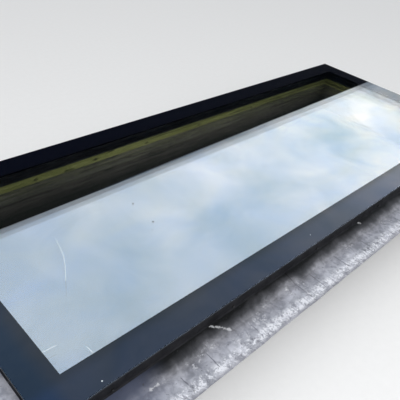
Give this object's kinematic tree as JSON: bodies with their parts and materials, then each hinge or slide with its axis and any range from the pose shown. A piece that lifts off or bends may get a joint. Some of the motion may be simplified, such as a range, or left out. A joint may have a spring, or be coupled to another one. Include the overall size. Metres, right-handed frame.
{
  "type": "roof skylight",
  "caption": "Fixed flush-glazed roof skylight: stepped triple-glazed unit with a dark border, aluminium frame, timber kerb and dressed lead flashing.",
  "frame": {"origin": "centre of the foot of the kerb, in the plane that rests on the roof timbers", "axes": "+X along the eaves, +Y up the slope, +Z out through the glass"},
  "size_m": [3.55, 1.59, 0.3058],
  "materials": {
    "outer_glass": "toughened, solar coated, polished",
    "inner_glass": "clear float, with the lower pane laminated",
    "interlayer": "clear",
    "enamel": "fired black enamel",
    "spacer": "black coated",
    "spacer_key": "moulded",
    "butyl": "matte",
    "edge_sealant": "matte",
    "silicone": "satin, tooled",
    "tape": "closed cell",
    "gasket": "satin",
    "outer_frame": "dark grey powder coat on aluminium",
    "inner_frame": "dark grey powder coat on aluminium",
    "thermal_break": "glass filled",
    "cleat": "cast",
    "setting_block": "moulded",
    "screw": "stainless",
    "washer": "matte",
    "treated_timber": "green treated softwood",
    "dark_timber": "dark stained sawn softwood",
    "lead": "weathered sheet lead with white patina"
  },
  "bodies": {
    "root": {"outer_pane": "outer_glass", "enamel_border": "enamel", "inner_ply_upper": "inner_glass", "laminate_interlayer": "interlayer", "inner_ply_lower": "inner_glass", "middle_pane": "inner_glass", "spacer_front": "spacer", "lower_spacer_front": "spacer", "spacer_back": "spacer", "lower_spacer_back": "spacer", "spacer_left": "spacer", "lower_spacer_left": "spacer", "spacer_right": "spacer", "lower_spacer_right": "spacer", "spacer_corner_keys": "spacer_key", "butyl_seals": "butyl", "edge_sealant": "edge_sealant", "outer_frame_front": "outer_frame", "inner_frame_front": "inner_frame", "thermal_break_front": "thermal_break", "outer_frame_back": "outer_frame", "inner_frame_back": "inner_frame", "thermal_break_back": "thermal_break", "outer_frame_left": "outer_frame", "inner_frame_left": "inner_frame", "thermal_break_left": "thermal_break", "outer_frame_right": "outer_frame", "inner_frame_right": "inner_frame", "thermal_break_right": "thermal_break", "corner_cleats": "cleat", "bond_tape": "tape", "structural_silicone": "silicone", "weather_seal": "silicone", "glazing_tape": "tape", "inner_gasket": "gasket", "setting_blocks": "setting_block", "frame_screws": "screw", "frame_screw_washers": "washer", "inner_kerb_seal": "gasket", "outer_kerb_seal": "gasket", "plate_screws": "screw", "board_screws": "screw", "kerb_plate_front": "treated_timber", "kerb_board_front_inner": "dark_timber", "kerb_board_front_outer": "dark_timber", "kerb_plate_back": "treated_timber", "kerb_board_back_inner": "dark_timber", "kerb_board_back_outer": "dark_timber", "kerb_plate_left": "treated_timber", "kerb_board_left_inner": "dark_timber", "kerb_board_left_outer": "dark_timber", "kerb_plate_right": "treated_timber", "kerb_board_right_inner": "dark_timber", "kerb_board_right_outer": "dark_timber", "apron_left": "lead", "apron_middle": "lead", "apron_right": "lead", "side_flashing_left": "lead", "side_flashing_right": "lead", "back_gutter": "lead"}
  },
  "joints": []
}
